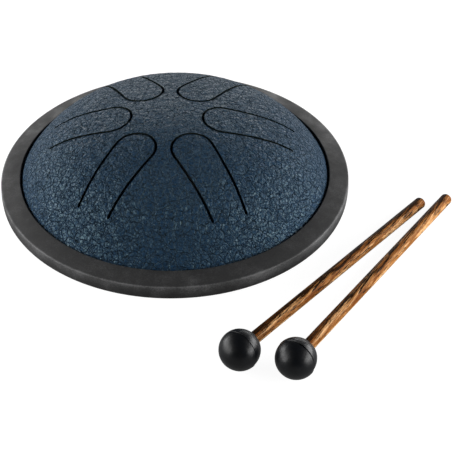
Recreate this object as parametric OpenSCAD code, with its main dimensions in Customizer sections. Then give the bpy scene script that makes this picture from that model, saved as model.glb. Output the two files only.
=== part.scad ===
// Small steel tongue drum with a rubber rim ring and a pair of mallets.
// Two pressed shells are joined at their flanges, and the ring grips the flanges and is the drum's foot.
// Origin: centre of the drum on the surface that it rests on, +Z up. The mallets lie beside it.

/* [Steel shells] */
// Thickness of the sheet that both shells are pressed from
sheet_t = 0.9; // [0.6:0.1:1.5]
// Radius at which the dome's shoulder meets the flange
dome_r = 79.9; // [76:0.1:84]
// Rise of the dome above its flange
dome_rise = 36.2; // [32:0.1:40]
// Radius of the wide arc over the crown
crown_r = 154.2; // [140:0.2:175]
// Radius of the arc that rounds the shoulder
shoulder_r = 58; // [50:0.5:64]
// Outside radius of the bend from the dome into its flange
bend_r = 1.2; // [0.6:0.1:2]
// Width of the flange outside the bend
flange_w = 3.6; // [3:0.1:6]

/* [Tongues] */
// Number of tongues
tongue_count = 6; // [3:1:7]
// Width of the cut round each tongue
slot_w = 1.4; // [0.8:0.1:2]
// Radius of a tongue's round tip, at the middle of the cut
tip_r = 10.45; // [8:0.05:11.5]
// Distance from the middle of the pattern to the centre of a tip
tip_centre = 28.5; // [27:0.1:32]
// Distance from the middle of the pattern to the end of the longest cut
root_reach = 67.9; // [62:0.1:68.5]
// Angle by which each side of a tongue draws in towards its root
side_angle = 2.75; // [0:0.05:5]
// Angle by which the whole pattern is turned
pattern_turn = -1.7; // [-15:0.1:15]
// How far the round hole that ends each leg stands out to each side of the cut
slot_flare = 0.05; // [0.05:0.05:0.5]
// Distance of the pattern's middle from the dome's axis
pattern_shift = 3.4; // [0:0.1:4]

/* [Bottom pan] */
// Depth of the pan below its flange
pan_drop = 2.2; // [1.8:0.1:2.6]
// Slope of the pan's wall
pan_wall_angle = 50; // [30:1:60]
// Radius of both bends in the pan's wall, at the middle of the sheet
pan_bend_r = 1.5; // [1:0.1:1.6]
// Radius of the sound hole
sound_hole_r = 17; // [10:0.5:25]

/* [Rubber ring] */
// Thickness of rubber under the flanges
foot_t = 4.4; // [3.4:0.1:6]
// Rubber outside the flanges
wall_t = 5.8; // [4.5:0.1:8]
// Height of the lip above the flange, at its inner edge
lip_h = 3.1; // [2.4:0.1:5]
// Fall of the lip's top face from its inner to its outer edge
lip_fall = 2.15; // [0:0.05:2.4]
// Gap between the lip's inner edge and the dome
lip_gap = 1.2; // [0.8:0.1:2]
// Rounding of the ring's lower outer edge
ring_low_edge = 1; // [0.4:0.1:1.6]
// Rounding of the ring's upper edges
ring_top_edge = 0.45; // [0.2:0.05:0.8]

/* [Mallets] */
// Diameter of a rubber head
ball_d = 18.9; // [15:0.1:24]
// Diameter of a stick
stick_d = 5.9; // [4.5:0.1:8]
// Length of a mallet over its head and stick
mallet_len = 155.4; // [120:0.1:180]
// Depth of the socket in a head
socket_depth = 11.5; // [8:0.1:12.5]
// Rounding of a stick's free end
stick_round = 1.5; // [0.5:0.1:2]
// Radius of the parting groove round a head
parting_r = 0.3; // [0.15:0.05:0.5]
// Step by which the stick's half of a head is smaller
parting_step = 0.12; // [0:0.02:0.3]

/* [Mallets' places] */
// Bearing of the first stick, from its head to its free end
mallet_bearing = 50.2; // [30:0.1:70]
// Gap between the ring and the first stick
stand_off = 16.5; // [5:0.5:40]
// Distance of the first head back from the stick's nearest point to the drum
head_back = 80.2; // [60:0.1:110]
// Gap between the two heads
head_gap = 6.1; // [2:0.1:12]
// Bearing of the second head from the first
head_bearing = -11.5; // [-25:0.5:0]
// Gap between the free ends of the sticks
end_gap = 2.5; // [1:0.1:6]

/* [Hidden] */
$fn = 96;

// Reach of the left and right leg of each cut, seen from its tip, as shares of the longest,
// counted round from the tongue at the right
reach_shares = [[0.953, 0.941], [0.93, 0.93], [0.945, 0.945], [0.878, 0.878], [0.951, 0.951], [1, 0.98]];
// How far cuts and masks run past what they cut
overrun = 2 * ball_d;
// How far an arc stands proud of the line or arc that it runs into, so that the two cross
arc_lap = sheet_t / 600;

// Levels of the flanges
pan_flange_z = foot_t;
seam_z = foot_t + sheet_t;
flange_z = foot_t + 2 * sheet_t;

// Dome: the shoulder arc is tangent to the crown arc and passes through the flange at dome_r
crown_z = flange_z + dome_rise - crown_r;
foot_rise = flange_z - crown_z;
foot_dist = norm([dome_r, foot_rise]);
arc_dist = crown_r - shoulder_r;
arc_along = (arc_dist * arc_dist - shoulder_r * shoulder_r + foot_dist * foot_dist) / (2 * foot_dist);
arc_across = sqrt(arc_dist * arc_dist - arc_along * arc_along);
shoulder_x = (arc_along * dome_r - arc_across * foot_rise) / foot_dist;
shoulder_z = crown_z + (arc_along * foot_rise + arc_across * dome_r) / foot_dist;

// Bend from the shoulder arc into the flange, with one centre for both faces of the sheet
bend_z = flange_z + bend_r;
bend_x = shoulder_x + sqrt(pow(shoulder_r + bend_r, 2) - pow(bend_z - shoulder_z, 2));
flange_r = bend_x + flange_w;

// Seam bead on the edges of both flanges
bead_r = sheet_t;

// Ring
channel_clear = 0.3;
lip_z = flange_z + lip_h;
lip_x = shoulder_x + sqrt(pow(shoulder_r, 2) - pow(lip_z - shoulder_z, 2)) + lip_gap;
lip_foot_x = bend_x + channel_clear;
ring_r = flange_r + wall_t;
ring_out_z = lip_z - lip_fall;
channel_r = flange_r + bead_r + channel_clear;
foot_in_x = bend_x - sheet_t;
foot_edge = 0.3;

// Pan: a sloping wall takes its floor down from the flange, just inside the ring's foot
pan_edge_x = foot_in_x - pan_bend_r * tan(pan_wall_angle / 2);
pan_foot_x = pan_edge_x - pan_drop / tan(pan_wall_angle);
pan_floor_z = pan_flange_z - pan_drop;

// Mallets: the head and the far end of the stick both touch the resting surface
ball_r = ball_d / 2;
stick_r = stick_d / 2;
socket_fit = 0.03;
axis_len = mallet_len - ball_r;
end_len = axis_len - stick_round;
end_r = stick_r - stick_round;
droop = asin((ball_r - stick_round) / norm([end_len, end_r])) - atan2(end_r, end_len);

// Places of the two heads and bearings of the two sticks
line_dist = ring_r + stand_off + stick_r;
head_1 = [
    line_dist * sin(mallet_bearing) - head_back * cos(mallet_bearing),
    -line_dist * cos(mallet_bearing) - head_back * sin(mallet_bearing)
];
head_dist = ball_d + head_gap;
head_2 = head_1 + head_dist * [cos(head_bearing), sin(head_bearing)];
head_across = head_dist * sin(mallet_bearing - head_bearing);
close_in = asin((head_across - stick_d - end_gap) / (axis_len * cos(droop)));
bearing_2 = mallet_bearing + close_in;

// Filled section with rounded corners, listed anticlockwise; a corner with no radius stays sharp
module rounded_section(points, radii) {
    last = len(points);
    function dir(a, b) = (b - a) / norm(b - a);
    function back(i) = dir(points[i], points[(i + last - 1) % last]);
    function on(i) = dir(points[i], points[(i + 1) % last]);
    function turns_left(i) = cross(on(i), back(i)) > 0;
    function half(i) = acos(back(i) * on(i)) / 2;
    function run(i) = radii[i] / tan(half(i));
    function centre(i) = points[i] + dir([0, 0], back(i) + on(i)) * radii[i] / sin(half(i));
    corners = [
        for (i = [0:last - 1])
            each radii[i] == 0 ? [points[i]] : [points[i] + run(i) * back(i), points[i] + run(i) * on(i)]
    ];
    difference() {
        union() {
            polygon(corners);
            for (i = [0:last - 1]) {
                if (radii[i] > 0 && turns_left(i)) {
                    translate(centre(i)) circle(r = radii[i] + arc_lap);
                }
            }
        }
        for (i = [0:last - 1]) {
            if (radii[i] > 0 && !turns_left(i)) {
                translate(centre(i)) circle(r = radii[i] + arc_lap);
            }
        }
    }
}

// Half section of what lies under the dome's outer face, or under a face set inset below it.
// It reaches out to side at the flange's level and down to base.
module under_dome(inset, side, base) {
    arc_r = shoulder_r - inset;
    toe = atan2(bend_z - shoulder_z, bend_x - shoulder_x);
    shoulder = [shoulder_x, shoulder_z];
    ray = [shoulder_x, shoulder_z - crown_z] / arc_dist;
    high = crown_z + crown_r;
    difference() {
        union() {
            polygon([
                [0, base],
                [side, base],
                [side, flange_z - inset],
                [bend_x, flange_z - inset],
                shoulder + arc_r * [cos(toe), sin(toe)],
                shoulder + arc_r * ray,
                [0, high - 2 * sheet_t]
            ]);
            intersection() {
                translate([0, base]) square([crown_r, crown_r]);
                union() {
                    intersection() {
                        translate([0, crown_z]) circle(r = crown_r - inset);
                        polygon([[0, shoulder_z], shoulder, shoulder + crown_r * ray, [0, high + crown_r]]);
                    }
                    translate(shoulder) circle(r = arc_r + arc_lap);
                }
            }
        }
        translate([bend_x, bend_z]) circle(r = bend_r + inset + arc_lap);
    }
}

// Plan of a tongue at some distance outside the middle of its cut: a disc with two sides that draw in,
// one leg long on the left and the other on the right
module tongue_plan(outside, legs) {
    r = tip_r + outside;
    touch = r * [sin(side_angle), cos(side_angle)];
    along = [cos(side_angle), -sin(side_angle)];
    left_end = touch + legs[0] * along;
    right_end = touch + legs[1] * along;
    translate([tip_centre, 0]) {
        circle(r = r + arc_lap);
        polygon([touch, [touch.x, -touch.y], [right_end.x, -right_end.y], left_end]);
    }
}

// U-shaped cut round one tongue, with a small round hole at the end of each leg
module tongue_slot(reaches) {
    legs = [for (reach = reaches) (reach - tip_centre - tip_r * sin(side_angle)) / cos(side_angle)];
    difference() {
        tongue_plan(slot_w / 2, legs);
        tongue_plan(-slot_w / 2, [for (leg = legs) leg + overrun]);
    }
    for (side = [0, 1]) {
        mirror([0, side]) translate([tip_centre, 0]) rotate(-side_angle)
            translate([legs[side], tip_r]) circle(r = slot_w / 2 + slot_flare);
    }
}

// Domed steel shell with the tongues cut through it
module top_shell() {
    color([0.11, 0.18, 0.26]) difference() {
        rotate_extrude() difference() {
            under_dome(0, flange_r, seam_z);
            under_dome(sheet_t, bend_x, seam_z - sheet_t);
        }
        translate([-pattern_shift, 0, seam_z]) rotate(pattern_turn) {
            for (i = [0:tongue_count - 1]) {
                leg_shares = reach_shares[i % len(reach_shares)];
                rotate(i * 360 / tongue_count)
                    linear_extrude(dome_rise + overrun) tongue_slot(root_reach * leg_shares);
            }
        }
    }
}

// Half section of the space above one face of the pan's sheet, which lies up above the lower face
module above_pan(up, from, to) {
    off = (sheet_t / 2 - up) * tan(pan_wall_angle / 2);
    high = flange_z + overrun;
    rounded_section(
        [
            [from, pan_floor_z + up],
            [pan_foot_x + off, pan_floor_z + up],
            [pan_edge_x + off, pan_flange_z + up],
            [to, pan_flange_z + up],
            [to, high],
            [from, high]
        ],
        [0, pan_bend_r + sheet_t / 2 - up, pan_bend_r - sheet_t / 2 + up, 0, 0, 0]
    );
}

// Pressed steel pan that closes the drum from below, with the sound hole in its middle
module bottom_shell() {
    color([0.1, 0.16, 0.23]) rotate_extrude() difference() {
        above_pan(0, sound_hole_r, flange_r);
        above_pan(sheet_t, 0, flange_r + overrun);
    }
}

// Right half of a disc
module half_disc(r) {
    intersection() {
        circle(r = r);
        translate([0, -r]) square([r, 2 * r]);
    }
}

// Bead that joins the edges of the two flanges all round
module seam_bead() {
    color([0.35, 0.37, 0.4]) rotate_extrude()
        translate([flange_r, seam_z]) half_disc(bead_r);
}

// Moulded rubber ring whose channel grips both flanges and the bead
module rim_ring() {
    section = [
        [foot_in_x, 0],
        [ring_r, 0],
        [ring_r, ring_out_z],
        [lip_x, lip_z],
        [lip_foot_x, flange_z],
        [lip_foot_x, pan_flange_z],
        [foot_in_x, pan_flange_z]
    ];
    edges = [foot_edge, ring_low_edge, ring_top_edge, ring_top_edge, 0, 0, foot_edge];
    color([0.09, 0.09, 0.09]) rotate_extrude() difference() {
        rounded_section(section, edges);
        translate([0, pan_flange_z]) square([channel_r, 2 * sheet_t]);
    }
}

// Turned hardwood stick, along +Z from the middle of its head
module stick_shape() {
    start = ball_r - socket_depth;
    rotate_extrude() intersection() {
        translate([0, start]) square([stick_r, mallet_len]);
        rounded_section(
            [[-stick_r, start], [stick_r, start], [stick_r, axis_len], [-stick_r, axis_len]],
            [0, 0, stick_round, stick_round]
        );
    }
}

// Moulded rubber head in two halves, with a parting groove and a blind socket for the stick
module head_shape() {
    rotate_extrude() difference() {
        half_disc(ball_r);
        difference() {
            square(ball_d);
            circle(r = ball_r - parting_step);
        }
        translate([ball_r, 0]) circle(r = parting_r);
        translate([0, ball_r - socket_depth]) square([stick_r + socket_fit, overrun]);
    }
}

// Lays a mallet's piece down with its head at a place and its stick along a bearing
module lay_down(place, bearing) {
    translate([place.x, place.y, ball_r]) rotate([0, 90 + droop, bearing]) children();
}

module mallet_1_stick() {
    color([0.62, 0.4, 0.25]) lay_down(head_1, mallet_bearing) stick_shape();
}

module mallet_1_head() {
    color([0.06, 0.06, 0.07]) lay_down(head_1, mallet_bearing) head_shape();
}

module mallet_2_stick() {
    color([0.62, 0.4, 0.25]) lay_down(head_2, bearing_2) stick_shape();
}

module mallet_2_head() {
    color([0.06, 0.06, 0.07]) lay_down(head_2, bearing_2) head_shape();
}

top_shell();
bottom_shell();
seam_bead();
rim_ring();
mallet_1_stick();
mallet_1_head();
mallet_2_stick();
mallet_2_head();
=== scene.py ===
import math

import bpy
from mathutils import Matrix, Vector


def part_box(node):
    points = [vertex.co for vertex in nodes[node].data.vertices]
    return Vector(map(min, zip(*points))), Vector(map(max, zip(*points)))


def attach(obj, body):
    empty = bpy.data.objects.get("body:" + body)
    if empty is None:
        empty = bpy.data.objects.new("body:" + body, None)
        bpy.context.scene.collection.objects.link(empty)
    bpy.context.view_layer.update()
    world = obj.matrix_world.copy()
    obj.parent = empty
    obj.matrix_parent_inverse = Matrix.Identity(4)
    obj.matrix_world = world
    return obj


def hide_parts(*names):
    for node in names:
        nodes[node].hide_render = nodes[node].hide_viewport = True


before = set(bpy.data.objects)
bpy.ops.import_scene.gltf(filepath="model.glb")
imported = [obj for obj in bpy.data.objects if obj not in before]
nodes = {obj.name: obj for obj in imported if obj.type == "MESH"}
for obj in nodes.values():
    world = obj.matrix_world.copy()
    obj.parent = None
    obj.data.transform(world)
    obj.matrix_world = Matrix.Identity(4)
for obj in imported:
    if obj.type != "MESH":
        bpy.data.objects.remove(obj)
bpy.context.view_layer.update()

# The photograph's camera: a long lens, forty degrees above the table, looking along +Y.
# It aims a little past the drum's near right, so that the mallets come into the frame.
aim = Vector((0.02646, 0.0, -0.03045))
camera_distance = 0.6678
camera_rise = math.radians(40.03)
camera_roll = math.radians(0.28)
camera_lens_mm = 98.5
sensor_width_mm = 36
back = Vector((0, -math.cos(camera_rise), math.sin(camera_rise)))
bpy.ops.object.camera_add(location=aim + camera_distance * back)
camera = bpy.context.object
camera.name = "camera"
camera.rotation_mode = "ZXY"
camera.rotation_euler = (math.pi / 2 - camera_rise, 0, camera_roll)
camera.data.lens = camera_lens_mm
camera.data.sensor_width = sensor_width_mm
bpy.context.scene.camera = camera


# Top shell: a disc of thin steel pressed into a low dome with a flat flange all round. A laser
# cuts the six tongues straight down through it, and a navy powder coat, baked on over the dome,
# dries in fine wrinkles.
merge_gap = 1e-6
sheet = 0.0009
dome_r = 0.0799
dome_rise = 0.0362
crown_r = 0.1542
shoulder_r = 0.058
bend_r = 0.0012
coat_step = 0.0008
inner_step = 0.004
shell_turns = 520
soft_edge = math.radians(35)
shell_low, shell_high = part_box("top_shell")
flange_z = shell_low.z + sheet
flange_r = shell_high.x


def arc(centre, radius, start, end, step):
    """Points along an arc in the section plane, from one angle to another, a step apart."""
    count = max(2, math.ceil(abs(end - start) * radius / step))
    turns = [start + (end - start) * i / count for i in range(count + 1)]
    return [centre + radius * Vector((math.cos(turn), math.sin(turn))) for turn in turns]


def edit(piece, mode="VERT"):
    """Opens one piece in edit mode with nothing selected."""
    bpy.ops.object.select_all(action="DESELECT")
    piece.select_set(True)
    bpy.context.view_layer.objects.active = piece
    bpy.ops.object.mode_set(mode="EDIT")
    bpy.ops.mesh.select_mode(type=mode)
    bpy.ops.mesh.select_all(action="DESELECT")


def draw_line(name, points):
    """A chain of edges: a plane merged to one corner, which is extruded from point to point."""
    bpy.ops.mesh.primitive_plane_add(size=sheet, location=(0, 0, 0))
    line = bpy.context.object
    line.name = name
    edit(line)
    bpy.ops.mesh.select_all(action="SELECT")
    bpy.ops.mesh.merge(type="CENTER")
    bpy.ops.transform.translate(value=points[0])
    for here, there in zip(points, points[1:]):
        bpy.ops.mesh.extrude_region_move(TRANSFORM_OT_translate={"value": there - here})
    bpy.ops.object.mode_set(mode="OBJECT")
    return line


def modify(piece, kind, **settings):
    """Adds one modifier to a piece and applies it."""
    bpy.ops.object.select_all(action="DESELECT")
    piece.select_set(True)
    bpy.context.view_layer.objects.active = piece
    step = piece.modifiers.new(kind.title(), kind)
    for name, value in settings.items():
        setattr(step, name, value)
    bpy.ops.object.modifier_apply(modifier=step.name)


def turn(name, section, turns):
    """A turned piece: its half section, as (radius, height) points, goes right round the Z axis."""
    piece = draw_line(name, [Vector((point.x, 0, point.y)) for point in section])
    modify(piece, "SCREW", steps=turns, render_steps=turns)
    edit(piece)
    bpy.ops.mesh.select_all(action="SELECT")
    bpy.ops.mesh.remove_doubles(threshold=merge_gap)
    bpy.ops.mesh.normals_make_consistent(inside=False)
    bpy.ops.object.mode_set(mode="OBJECT")
    return piece


def smooth(piece, angle=soft_edge):
    """Shades a piece smooth, and keeps the edges that are sharper than an angle."""
    bpy.ops.object.select_all(action="DESELECT")
    piece.select_set(True)
    bpy.context.view_layer.objects.active = piece
    bpy.ops.object.shade_smooth_by_angle(angle=angle)


# The shoulder arc runs into the crown arc and ends where it meets the flange's level at dome_r;
# a small bend of its own takes it into the flange.
crown = Vector((0, flange_z + dome_rise - crown_r))
foot = Vector((dome_r, flange_z)) - crown
reach = crown_r - shoulder_r
lean = math.acos((foot.length**2 + reach**2 - shoulder_r**2) / (2 * foot.length * reach))
fall = math.atan2(foot.y, foot.x) + lean
shoulder = crown + reach * Vector((math.cos(fall), math.sin(fall)))
bend_rise = flange_z + bend_r - shoulder.y
bend = shoulder + Vector((math.sqrt((shoulder_r + bend_r) ** 2 - bend_rise**2), bend_rise))
toe = math.atan2(bend.y - shoulder.y, bend.x - shoulder.x)
outside = (
    arc(crown, crown_r, math.pi / 2, fall, coat_step)
    + arc(shoulder, shoulder_r, fall, toe, coat_step)[1:]
    + arc(bend, bend_r, toe + math.pi, 3 * math.pi / 2, bend_r / 4)[1:]
    + [Vector((flange_r, flange_z))]
)
inside = (
    [Vector((flange_r, flange_z - sheet))]
    + arc(bend, bend_r + sheet, 3 * math.pi / 2, toe + math.pi, bend_r)
    + arc(shoulder, shoulder_r - sheet, toe, fall, inner_step)[1:]
    + arc(crown, crown_r - sheet, fall, math.pi / 2, inner_step)[1:]
)
dome = turn("dome", outside + inside, shell_turns)

# The coat is a little uneven over the steel, in soft swellings a few millimetres across.
swell = 0.003
swell_rise = 0.00034
swell_top = 0.8
steepest_coat = 0.2
outer_face = dome.vertex_groups.new(name="outer_face")
coated = [v.index for v in dome.data.vertices if v.normal.z > steepest_coat and v.co.z > bend.y]
outer_face.add(coated, 1, "REPLACE")
unevenness = bpy.data.textures.new("coat_unevenness", "CLOUDS")
unevenness.noise_scale = swell
unevenness.noise_depth = 1
swelling = {
    "texture": unevenness,
    "texture_coords": "LOCAL",
    "strength": swell_rise,
    "mid_level": swell_top,
    "vertex_group": outer_face.name,
}
modify(dome, "DISPLACE", **swelling)
dome.vertex_groups.clear()

# The cuts: each is a U round a tongue, whose tip points to the middle and whose legs draw in.
# They differ a little in length, and each leg ends in a half circle.
cut_w = 0.0014
cut_end_r = 0.49 * cut_w
cut_end_reach = 0.6 * cut_w
cut_end_facets = 6
tip_r = 0.01045
tip_reach = 0.0285
root_reach = 0.0679
draw_in = math.radians(2.75)
first_bearing = math.radians(-1.7)
pattern_centre = Vector((-0.0034, 0, flange_z))
leg_shares = [
    (0.953, 0.941),
    (0.93, 0.93),
    (0.945, 0.945),
    (0.878, 0.878),
    (0.951, 0.951),
    (1, 0.98),
]


def cut_tongue(bearing, left_share, right_share):
    """The laser's path round one tongue: a wall as thick as the cut, with round ends."""
    tip = Vector((tip_reach, 0))
    touch = tip_reach + tip_r * math.sin(draw_in)
    left = (root_reach * left_share - touch) / math.cos(draw_in)
    right = (root_reach * right_share - touch) / math.cos(draw_in)
    around = arc(tip, tip_r, math.pi / 2 - draw_in, 3 * math.pi / 2 + draw_in, cut_w / 2)
    along = Vector((math.cos(draw_in), -math.sin(draw_in)))
    path = [around[0] + left * along, *around, around[-1] + right * Vector((along.x, -along.y))]
    wall = draw_line("laser_cut", [point.to_3d() for point in path])
    edit(wall)
    bpy.ops.mesh.select_all(action="SELECT")
    bpy.ops.mesh.extrude_region_move(TRANSFORM_OT_translate={"value": (0, 0, 2 * dome_rise)})
    bpy.ops.object.mode_set(mode="OBJECT")
    modify(wall, "SOLIDIFY", thickness=cut_w, offset=0, use_even_offset=True)
    ends = (path[0], path[-1])
    edit(wall, "EDGE")
    bpy.ops.object.mode_set(mode="OBJECT")
    for edge in wall.data.edges:
        low, high = (wall.data.vertices[i].co for i in edge.vertices)
        upright = (low - high).xy.length < sheet / 10
        edge.select = upright and min((low.xy - end).length for end in ends) < cut_end_reach
    bpy.ops.object.mode_set(mode="EDIT")
    bpy.ops.mesh.bevel(offset=cut_end_r, segments=cut_end_facets)
    bpy.ops.object.mode_set(mode="OBJECT")
    wall.data.transform(Matrix.Translation(pattern_centre) @ Matrix.Rotation(bearing, 4, "Z"))
    return wall


between = math.tau / len(leg_shares)
cuts = [cut_tongue(first_bearing + i * between, *shares) for i, shares in enumerate(leg_shares)]
bpy.ops.object.select_all(action="DESELECT")
for cut in cuts:
    cut.select_set(True)
bpy.context.view_layer.objects.active = cuts[0]
bpy.ops.object.join()
modify(dome, "BOOLEAN", object=cuts[0], operation="DIFFERENCE", solver="MANIFOLD")
bpy.data.objects.remove(cuts[0])
smooth(dome)


def put(tree, kind, inputs=None, **settings):
    """Adds a shader node; an input is a plain value or the socket that feeds it."""
    step = tree.nodes.new("ShaderNode" + kind)
    for name, value in settings.items():
        setattr(step, name, value)
    for name, value in (inputs or {}).items():
        if isinstance(value, bpy.types.NodeSocket):
            tree.links.new(value, step.inputs[name])
        else:
            step.inputs[name].default_value = value
    return step


def new_finish(name, roughness, **sockets):
    """A material whose Principled shader is left to be fed, and its tree."""
    finish = bpy.data.materials.new(name)
    finish.use_nodes = True
    tree = finish.node_tree
    shader = tree.nodes["Principled BSDF"]
    shader.inputs["Roughness"].default_value = roughness
    for socket, value in sockets.items():
        shader.inputs[socket.replace("_", " ")].default_value = value
    return finish, tree, shader


def dress(piece, finish):
    """Gives a piece one finish all over."""
    piece.data.materials.clear()
    piece.data.materials.append(finish)
    for face in piece.data.polygons:
        face.material_index = 0


def ramp(tree, factor, stops):
    """A colour ramp with one stop for each (position, colour)."""
    step = put(tree, "ValToRGB", {"Fac": factor})
    band = step.color_ramp
    while len(band.elements) < len(stops):
        band.elements.new(1)
    for element, (position, colour) in zip(band.elements, stops):
        element.position = position
        element.color = (*colour, 1)
    return step.outputs["Color"]


# The coat: navy plates a few millimetres across between thin creases, smaller plates in them, and
# soft folds under both. Painted shade darkens the creases and makes the cuts' upright walls nearly
# black.
plate_size = 0.0036
plate_crease = 0.00036
plate_wander = 1.4
small_plate_size = 0.0015
small_plate_crease = 0.0002
small_plate_wander = 1.7
coat_tones = [
    (0.1, (0.0005, 0.001, 0.002)),
    (0.35, (0.002, 0.01, 0.03)),
    (0.8, (0.0075, 0.031, 0.079)),
    (1, (0.016, 0.048, 0.1)),
]
coat_sheen = {"Specular_Tint": (0.7, 1, 0.87, 1), "Specular_IOR_Level": 0.4}
coat, tree, shader = new_finish("navy_wrinkle_coat", 0.4, **coat_sheen)
place = put(tree, "TexCoord").outputs["Object"]


def crackle(tree, place, cell, crease, wander):
    """Plates of a size: 1 on them and 0 in their creases, and the rise of each one's own tilt."""
    middle = (0.5, 0.5, 0.5)
    slow = {"Vector": place, "Scale": 0.6 / cell, "Detail": 3, "Roughness": 0.65}
    drift = put(tree, "TexNoise", slow).outputs["Color"]
    drift = put(tree, "VectorMath", {0: drift, 1: middle}, operation="SUBTRACT").outputs[0]
    drift = put(tree, "VectorMath", {0: drift, "Scale": wander * cell}, operation="SCALE").outputs[0]
    moved = put(tree, "VectorMath", {0: place, 1: drift}, operation="ADD").outputs[0]
    cells = {"Vector": moved, "Scale": 1 / cell}
    edge = put(tree, "TexVoronoi", cells, feature="DISTANCE_TO_EDGE").outputs["Distance"]
    reach = {"Value": edge, "From Max": crease / cell}
    plates = put(tree, "MapRange", reach, interpolation_type="SMOOTHSTEP").outputs["Result"]
    plate = put(tree, "TexVoronoi", cells, feature="F1").outputs
    arm = put(tree, "VectorMath", {0: moved, 1: plate["Position"]}, operation="SUBTRACT").outputs[0]
    lean = put(tree, "VectorMath", {0: plate["Color"], 1: middle}, operation="SUBTRACT").outputs[0]
    rise = put(tree, "VectorMath", {0: arm, 1: lean}, operation="DOT_PRODUCT").outputs["Value"]
    return plates, rise


def add_up(tree, *parts):
    """The sum of values, each times its own factor."""
    total = 0.0
    for value, factor in parts:
        total = put(tree, "Math", {0: value, 1: factor, 2: total}, operation="MULTIPLY_ADD").outputs[0]
    return total


def spread(tree, value, old, new):
    """A value moved from one range to another and kept within that."""
    ends = {"From Min": old[0], "From Max": old[1], "To Min": new[0], "To Max": new[1]}
    return put(tree, "MapRange", {"Value": value, **ends}).outputs[0]


def noise(tree, place, **settings):
    """Plain noise over a piece, from 0 to 1."""
    return put(tree, "TexNoise", {"Vector": place, **settings}).outputs["Fac"]


def emboss(tree, shader, relief):
    """Presses a relief, in metres, into a finish."""
    bump = put(tree, "Bump", {"Height": relief, "Strength": 1.0, "Distance": 1.0})
    tree.links.new(bump.outputs[0], shader.inputs["Normal"])


plates, plate_rise = crackle(tree, place, plate_size, plate_crease, plate_wander)
small_plates, small_rise = crackle(
    tree, place, small_plate_size, small_plate_crease, small_plate_wander
)
grain = noise(tree, place, Scale=1100, Detail=3, Roughness=0.75)
folds = noise(tree, place, Scale=270, Detail=2, Distortion=1.5)
creases = add_up(tree, (plates, 0.00035), (small_plates, 0.00018), (grain, 0.00009))
relief = add_up(tree, (creases, 1), (folds, 0.0012), (plate_rise, 0.22), (small_rise, 0.2))
emboss(tree, shader, relief)
# Painted shade: the creases are painted darker than the plates, and faces that stand upright, as the
# cuts' walls do, are painted nearly black.
normal = put(tree, "NewGeometry").outputs["True Normal"]
upward = put(tree, "SeparateXYZ", {"Vector": normal}).outputs["Z"]
upward = put(tree, "Math", {0: upward}, operation="ABSOLUTE").outputs[0]
outside_cut_shade = spread(tree, upward, (0.25, 0.45), (0, 1))
coat_tone_and_shade = add_up(tree, (plates, 0.3), (small_plates, 0.45), (grain, 0.25))
coat_tone_and_shade = put(tree, "Math", {0: coat_tone_and_shade, 1: outside_cut_shade}, operation="MULTIPLY").outputs[0]
tree.links.new(ramp(tree, coat_tone_and_shade, coat_tones), shader.inputs["Base Color"])
tree.links.new(spread(tree, coat_tone_and_shade, (0.35, 0.95), (1.0, 0.27)), shader.inputs["Roughness"])
dress(dome, coat)
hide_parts("top_shell")
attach(dome, "drum")

# Bottom pan: a second pressing of the same sheet, coated in the same navy, with the sound hole
# in its middle. Its flange lies under the dome's and its floor hangs just clear of the table.
pan_slope = math.radians(50)
pan_bend_r = 0.0015
pan_drop = 0.0022
pan_turns = 192
hole_r = 0.017
pan_low, pan_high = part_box("bottom_shell")
pan_flange_z = pan_high.z - sheet
pan_edge = Vector((bend.x - sheet - pan_bend_r * math.tan(pan_slope / 2), pan_flange_z))
pan_foot = Vector((pan_edge.x - pan_drop / math.tan(pan_slope), pan_low.z))


def pan_face(up):
    """One face of the pan's sheet from the sound hole out to the flange's edge, at a height in it."""
    shift = Vector(((sheet / 2 - up) * math.tan(pan_slope / 2), up))
    low, high = pan_foot + shift, pan_edge + shift
    low_r, high_r = pan_bend_r + sheet / 2 - up, pan_bend_r - sheet / 2 + up
    low_centre = low + Vector((-low_r * math.tan(pan_slope / 2), low_r))
    high_centre = high + Vector((high_r * math.tan(pan_slope / 2), -high_r))
    return (
        [Vector((hole_r, pan_low.z + up))]
        + arc(low_centre, low_r, -math.pi / 2, pan_slope - math.pi / 2, sheet / 4)
        + arc(high_centre, high_r, math.pi / 2 + pan_slope, math.pi / 2, sheet / 4)
        + [Vector((flange_r, pan_flange_z + up))]
    )


pan_section = pan_face(0) + pan_face(sheet)[::-1]
pan = turn("bottom_pan", pan_section + pan_section[:1], pan_turns)
smooth(pan)
dress(pan, coat)
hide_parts("bottom_shell")
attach(pan, "drum")

# Seam bead: the weld that joins the edges of the two flanges all round, bare steel in the ring.
# It is laid by hand in short runs, so it has a fine scale along its length.
scale_pitch = 0.0008
scale_rise = 0.00012
weld_tones = [(0.35, (0.16, 0.14, 0.13)), (0.6, (0.36, 0.36, 0.38))]
weld, tree, shader = new_finish("seam_weld", 0.4, Metallic=1.0)
place = put(tree, "TexCoord").outputs["Object"]
along = put(tree, "SeparateXYZ", {"Vector": place}).outputs
bearing = put(tree, "Math", {0: along["Y"], 1: along["X"]}, operation="ARCTAN2").outputs[0]
patchy = noise(tree, place, Scale=300, Detail=3)
phase = add_up(tree, (bearing, flange_r / scale_pitch * math.tau), (patchy, math.tau))
scales = put(tree, "Math", {0: phase}, operation="SINE").outputs[0]
emboss(tree, shader, add_up(tree, (scales, scale_rise / 2), (patchy, scale_rise)))
tree.links.new(ramp(tree, patchy, weld_tones), shader.inputs["Base Color"])
tree.links.new(spread(tree, patchy, (0.3, 0.7), (0.55, 0.3)), shader.inputs["Roughness"])
dress(nodes["seam_bead"], weld)
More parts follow.
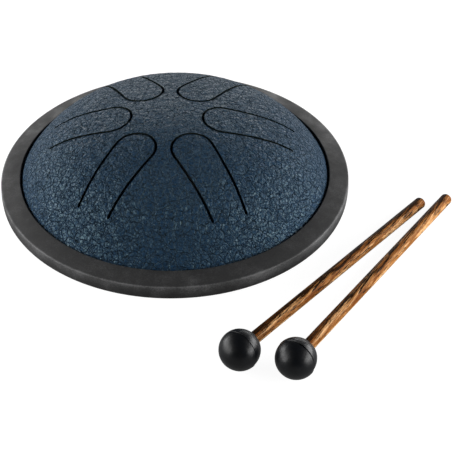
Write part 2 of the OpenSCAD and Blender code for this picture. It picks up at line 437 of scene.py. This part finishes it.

# Rim ring: black rubber moulded in one piece and stretched over the flanges. Its channel grips
# both flanges and the bead, and its flat underside is the drum's foot. Its skin is dull, and its
# wall bulges slightly; painted light makes the upper part of the wall paler, and painted shade
# darkens it a little overall.
channel_clear = 0.0003
lip_gap = 0.0012
lip_rise = 0.0031
lip_fall = 0.00215
low_edge = 0.001
top_edge = 0.00045
foot_edge = 0.0003
belly = 0.0002
belly_peak = belly / 8
belly_r = 0.012
wall_depth = 0.0006
corner_facets = 6
ring_turns = 288
rubber_speckle_rise = 0.00007
rubber_tones = [
    (0.35, (0.013, 0.013, 0.0135)),
    (0.5, (0.021, 0.021, 0.0215)),
    (0.62, (0.052, 0.052, 0.053)),
    (0.75, (0.13, 0.13, 0.132)),
]
ring_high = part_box("rim_ring")[1]
bead_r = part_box("seam_bead")[1].x
lip_z = flange_z + lip_rise
lip_x = shoulder.x + math.sqrt(shoulder_r**2 - (lip_z - shoulder.y) ** 2) + lip_gap


def rounded(corners, radii):
    """A closed section with its corners rounded, each by its own radius; zero leaves one sharp."""
    points = []
    for i, (corner, radius) in enumerate(zip(corners, radii)):
        back = (corners[i - 1] - corner).normalized()
        on = (corners[(i + 1) % len(corners)] - corner).normalized()
        if radius == 0:
            points.append(corner)
            continue
        half = math.acos(back.dot(on)) / 2
        start, end = (corner + radius / math.tan(half) * side for side in (back, on))
        centre = corner + radius / math.sin(half) * (back + on).normalized()
        for step in range(corner_facets + 1):
            chord = start.lerp(end, step / corner_facets) - centre
            points.append(centre + radius * chord.normalized())
    return points + points[:1]


wall_top = lip_z - lip_fall
ring_corners = [
    Vector((bend.x - sheet, 0)),
    Vector((ring_high.x - belly, 0)),
    Vector((ring_high.x + belly_peak, wall_top / 2)),
    Vector((ring_high.x - belly, wall_top)),
    Vector((lip_x, lip_z)),
    Vector((bend.x + channel_clear, flange_z)),
    Vector((bead_r + channel_clear, flange_z)),
    Vector((bead_r + channel_clear, pan_flange_z)),
    Vector((bend.x - sheet, pan_flange_z)),
]
ring_radii = [foot_edge, low_edge, belly_r, top_edge, top_edge, 0, 0, 0, foot_edge]
ring = turn("rim_ring_rubber", rounded(ring_corners, ring_radii), ring_turns)
smooth(ring)
rubber, tree, shader = new_finish("ring_rubber", 0.6)
place = put(tree, "TexCoord").outputs["Object"]
speckle = noise(tree, place, Scale=1700, Detail=3, Roughness=0.7)
bloom = noise(tree, place, Scale=80, Detail=4, Roughness=0.6)
emboss(tree, shader, add_up(tree, (speckle, rubber_speckle_rise)))
from_axis = put(tree, "VectorMath", {0: place, 1: (1, 1, 0)}, operation="MULTIPLY").outputs[0]
from_axis = put(tree, "VectorMath", {0: from_axis}, operation="LENGTH").outputs["Value"]
wall_r = ring_high.x - wall_depth
on_wall = spread(tree, from_axis, (wall_r - wall_depth, wall_r), (0, 1))
# Painted light and shade on the outer wall: a little darker overall, and paler towards its top.
height = put(tree, "SeparateXYZ", {"Vector": place}).outputs["Z"]
painted_wall_light = spread(tree, height, (low_edge, wall_top), (0, 1))
painted_wall_light = put(tree, "Math", {0: painted_wall_light, 1: on_wall}, operation="MULTIPLY").outputs[0]
rubber_tone_and_wall_light = add_up(tree, (speckle, 0.45), (bloom, 0.55), (painted_wall_light, 0.22), (on_wall, -0.04))
tree.links.new(ramp(tree, rubber_tone_and_wall_light, rubber_tones), shader.inputs["Base Color"])
tree.links.new(spread(tree, bloom, (0.35, 0.65), (0.7, 0.46)), shader.inputs["Roughness"])
dress(ring, rubber)
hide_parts("rim_ring")
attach(ring, "drum")

# Mallet heads: two balls of black rubber, each pressed in a mould of two halves that never quite
# meet, so a parting line goes round it square to the stick. A blind hole takes the stick.
ball_r = 0.00945
back_step = 0.00012
back_r = ball_r - back_step
socket_depth = 0.0115
socket_fit = 0.00003
mouth_edge = 0.0003
ball_step = 0.0006
ball_turns = 96
dent = 0.006
dent_depth = 0.00007
head_soft_edge = math.radians(25)
ball_speckle_rise = 0.00002
ball_smear_rise = 0.00006
ball_tones = [(0.35, (0.0025, 0.003, 0.0042)), (0.65, (0.0055, 0.0065, 0.0085))]
stick_r = 0.00295
stick_end_r = 0.0015
mallet_len = 0.1554
end_z = mallet_len - ball_r
end_centre = Vector((stick_r - stick_end_r, end_z - stick_end_r))
droop = math.asin((ball_r - stick_end_r) / end_centre.length) - math.atan2(end_centre.x, end_centre.y)
bearings = {1: math.radians(50.2), 2: math.radians(55.56)}
parting_widths = {1: 0.00045, 2: 0.0009}
parting_depths = {1: 0.0005, 2: 0.0009}
mould_slips = {1: 0.00012, 2: 0.0003}


def head_place(number):
    """The middle of a mallet's head, from the near corner of its box."""
    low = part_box(f"mallet_{number}_head")[0]
    return Vector((low.x + ball_r, low.y + ball_r, ball_r))


def lay_down(piece, number):
    """Lays a piece, made along +Z from the middle of its head, on the table along its bearing."""
    down = Matrix.Rotation(bearings[number], 4, "Z") @ Matrix.Rotation(math.pi / 2 + droop, 4, "Y")
    piece.data.transform(Matrix.Translation(head_place(number)) @ down)


def mould_head(number):
    """One head: its front half, the parting line, the back half and the socket.

    The back half has slipped sideways in the mould, but its mouth stays round the stick.
    """
    half = parting_widths[number] / 2 / ball_r
    mouth_r = stick_r + socket_fit
    mouth = math.acos((mouth_r + mouth_edge) / back_r)
    bottom = ball_r - socket_depth
    section = (
        arc(Vector((0, 0)), ball_r, -math.pi / 2, -half, ball_step)
        + [Vector((ball_r - parting_depths[number], 0))]
        + arc(Vector((0, 0)), back_r, half, mouth, ball_step)
        + [Vector((mouth_r, back_r * math.sin(mouth))), Vector((mouth_r, bottom)), Vector((0, bottom))]
    )
    head = turn(f"mallet_{number}_ball", section, ball_turns)
    still_r = 1.2 * mouth_r
    back_half = head.vertex_groups.new(name="back_half")
    for vertex in head.data.vertices:
        if vertex.co.z > 0:
            share = (vertex.co.xy.length - still_r) / (ball_r - still_r)
            back_half.add([vertex.index], max(0, share), "REPLACE")
    slip = {"direction": "Y", "strength": mould_slips[number], "mid_level": 0}
    modify(head, "DISPLACE", vertex_group=back_half.name, **slip)
    head.vertex_groups.clear()
    lay_down(head, number)
    modify(head, "DISPLACE", texture=dents, strength=dent_depth, texture_coords="LOCAL", mid_level=1)
    smooth(head, head_soft_edge)
    return head


dents = bpy.data.textures.new("head_dents", "CLOUDS")
dents.noise_scale = dent
ball_rubber, tree, shader = new_finish("ball_rubber", 0.3, Specular_IOR_Level=0.35)
place = put(tree, "TexCoord").outputs["Object"]
speckle = noise(tree, place, Scale=2200, Detail=2, Roughness=0.6)
smear = noise(tree, place, Scale=160, Detail=3, Distortion=1.5)
emboss(tree, shader, add_up(tree, (speckle, ball_speckle_rise), (smear, ball_smear_rise)))
tree.links.new(ramp(tree, smear, ball_tones), shader.inputs["Base Color"])
tree.links.new(spread(tree, smear, (0.3, 0.7), (0.42, 0.3)), shader.inputs["Roughness"])
for number in bearings:
    head = mould_head(number)
    dress(head, ball_rubber)
    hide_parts(f"mallet_{number}_head")
    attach(head, f"mallet_{number}")

# Mallet sticks: hardwood dowels with an open, dark-streaked grain, rounded off at the free end,
# sanded by hand and oiled. The grain runs a little askew, and painted shade lets more dark streaks
# through on one flank of each, so that this flank looks nearly black.
ring_step = 0.002
stick_turns = 48
sanding = 0.012
sanding_depth = 0.00006
askew = math.radians(5)
# The turn of the flank on each stick that gets painted shade.
shaded_flank_turn = math.radians(128)
streak_tone = (0.021, 0.008, 0.002)
wood_tones = [
    (0.39, (0.15, 0.042, 0.006)),
    (0.48, (0.34, 0.135, 0.032)),
    (0.57, (0.74, 0.42, 0.19)),
]
pore_rise = 0.00005
streak_sink = 0.00003
streak_fade = 0.08
grain_sizes = (("bands", 0.004, 16), ("streaks", 0.0007, 24), ("pores", 0.0005, 16))
streak_starts = {1: 0.5, 2: 0.53}


def turn_stick(number):
    """One dowel, from the bottom of its socket to its rounded end."""
    start = ball_r - socket_depth
    count = round((end_centre.y - start) / ring_step)
    section = (
        [Vector((0, start))]
        + [Vector((stick_r, start + (end_centre.y - start) * i / count)) for i in range(count + 1)]
        + arc(end_centre, stick_end_r, 0, math.pi / 2, stick_end_r / 5)[1:]
        + [Vector((0, end_z))]
    )
    stick = turn(f"mallet_{number}_dowel", section, stick_turns)
    lay_down(stick, number)
    sanded = {"texture": uneven, "strength": sanding_depth, "mid_level": 1}
    modify(stick, "DISPLACE", texture_coords="LOCAL", **sanded)
    smooth(stick)
    return stick


def streaked_wood(number):
    """Wood with its grain along one stick: tan and brown bands, dark streaks and fine pores."""
    finish, tree, shader = new_finish(f"streaked_wood_{number}", 0.45, Specular_IOR_Level=0.05)
    place = put(tree, "TexCoord").outputs["Object"]
    laid = {"Location": head_place(number), "Rotation": (0, math.pi / 2 + droop, bearings[number])}
    own = put(tree, "Mapping", {"Vector": place, **laid}, vector_type="TEXTURE").outputs[0]
    skewed = put(tree, "Mapping", {"Vector": own, "Rotation": (askew, 0, 0)}).outputs[0]
    grain = {}
    for name, size, stretch in grain_sizes:
        drawn = put(tree, "VectorMath", {0: skewed, 1: (1, 1, 1 / stretch)}, operation="MULTIPLY")
        fibre = {"Scale": 1 / size, "Detail": 2, "Roughness": 0.6, "Distortion": 0.3}
        grain[name] = noise(tree, drawn.outputs[0], **fibre)
    # Painted shade: more dark streaks come through on one flank of each stick, so that it looks
    # shaded.
    shaded_flank_axis = (math.cos(shaded_flank_turn) / stick_r, math.sin(shaded_flank_turn) / stick_r, 0)
    toward_shaded_flank = put(tree, "VectorMath", {0: own, 1: shaded_flank_axis}, operation="DOT_PRODUCT")
    side = spread(tree, toward_shaded_flank.outputs["Value"], (-0.15, 0.75), (0, 1))
    warm = add_up(tree, (grain["bands"], 0.6), (grain["streaks"], 0.4))
    grain_and_flank_shade = add_up(tree, (grain["streaks"], 0.55), (grain["pores"], 0.45), (side, 0.12))
    start = streak_starts[number]
    streaks_and_flank_shade = spread(tree, grain_and_flank_shade, (start, start + streak_fade), (0, 1))
    mixed = {"Fac": streaks_and_flank_shade, "Color1": ramp(tree, warm, wood_tones), "Color2": (*streak_tone, 1)}
    tree.links.new(put(tree, "MixRGB", mixed).outputs[0], shader.inputs["Base Color"])
    emboss(tree, shader, add_up(tree, (grain["pores"], pore_rise), (streaks_and_flank_shade, -streak_sink)))
    dull = spread(tree, grain["bands"], (0.3, 0.7), (0.5, 0.34))
    tree.links.new(dull, shader.inputs["Roughness"])
    return finish


uneven = bpy.data.textures.new("hand_sanding", "CLOUDS")
uneven.noise_scale = sanding
for number in bearings:
    stick = turn_stick(number)
    dress(stick, streaked_wood(number))
    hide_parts(f"mallet_{number}_stick")
    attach(stick, f"mallet_{number}")

# The table: a plain white surface that keeps the object's shadow. It glows to show white, less
# where the shadows fall and not at all under the drum, and from below it lets the view through.
floor_size = 6
floor_white = 0.2
floor_glow = 0.93
glossy_share = 0.2
hidden_r = 0.9 * dome_r
shadow_r = 0.15
shadow_end_r = 0.4
bpy.ops.mesh.primitive_plane_add(size=floor_size, location=(0, 0, 0))
floor = bpy.context.object
floor.name = "floor"
floor_paint = {
    "Base_Color": (floor_white, floor_white, floor_white, 1),
    "Specular_IOR_Level": 0.0,
    "Emission_Color": (1, 1, 1, 1),
}
white, tree, shader = new_finish("white_floor", 0.9, **floor_paint)
rays = put(tree, "LightPath").outputs
mirrored = {0: rays["Is Glossy Ray"], 1: rays["Is Transmission Ray"]}
mirrored = put(tree, "Math", mirrored, operation="MAXIMUM").outputs[0]
mirrored = put(tree, "Math", {0: mirrored, 1: glossy_share}, operation="MULTIPLY").outputs[0]
shown = put(tree, "Math", {0: rays["Is Camera Ray"], 1: mirrored}, operation="MAXIMUM").outputs[0]
place = put(tree, "TexCoord").outputs["Object"]
away = put(tree, "VectorMath", {0: place}, operation="LENGTH").outputs["Value"]
open_floor = spread(tree, away, (hidden_r, dome_r), (0, floor_glow))
far_floor = spread(tree, away, (shadow_r, shadow_end_r), (0, 1 - floor_glow))
glow = add_up(tree, (open_floor, 1), (far_floor, 1))
glow = put(tree, "Math", {0: shown, 1: glow}, operation="MULTIPLY").outputs[0]
tree.links.new(glow, shader.inputs["Emission Strength"])
underside = put(tree, "NewGeometry").outputs["Backfacing"]
through = put(tree, "BsdfTransparent")
table_top = put(tree, "MixShader", {"Fac": underside})
tree.links.new(shader.outputs["BSDF"], table_top.inputs[1])
tree.links.new(through.outputs["BSDF"], table_top.inputs[2])
tree.links.new(table_top.outputs[0], tree.nodes["Material Output"].inputs["Surface"])
dress(floor, white)

# Studio light: a soft box low down to each side and a long low one behind, all hidden from the
# camera, in a dark room whose walls show white.
room_light = 0.02
drum_middle = Vector((0, 0, 0.02))
fill = bpy.data.worlds.new("studio")
fill.use_nodes = True
bpy.context.scene.world = fill
tree = fill.node_tree
seen = put(tree, "LightPath").outputs["Is Camera Ray"]
level = spread(tree, seen, (0, 1), (room_light, 1))
tree.links.new(level, tree.nodes["Background"].inputs["Strength"])
tree.nodes["Background"].inputs["Color"].default_value = (1, 1, 1, 1)


def soft_box(name, place, size, power):
    """A soft box at a place, turned to face the drum."""
    bpy.ops.object.light_add(type="AREA", location=place)
    lamp = bpy.context.object
    lamp.name = name
    lamp.data.shape = "RECTANGLE"
    lamp.data.size, lamp.data.size_y = size
    lamp.data.energy = power
    lamp.visible_camera = False
    lamp.rotation_mode = "QUATERNION"
    lamp.rotation_quaternion = (drum_middle - Vector(place)).to_track_quat("-Z", "Y")


soft_box("left_box", (-0.41, -0.02, 0.16), (0.75, 0.24), 3.3)
soft_box("right_box", (0.44, -0.04, 0.13), (0.75, 0.2), 3.7)
soft_box("back_box", (0, 0.6, 0.1), (1.0, 0.1), 1.65)

bpy.context.scene.view_settings.view_transform = "Standard"
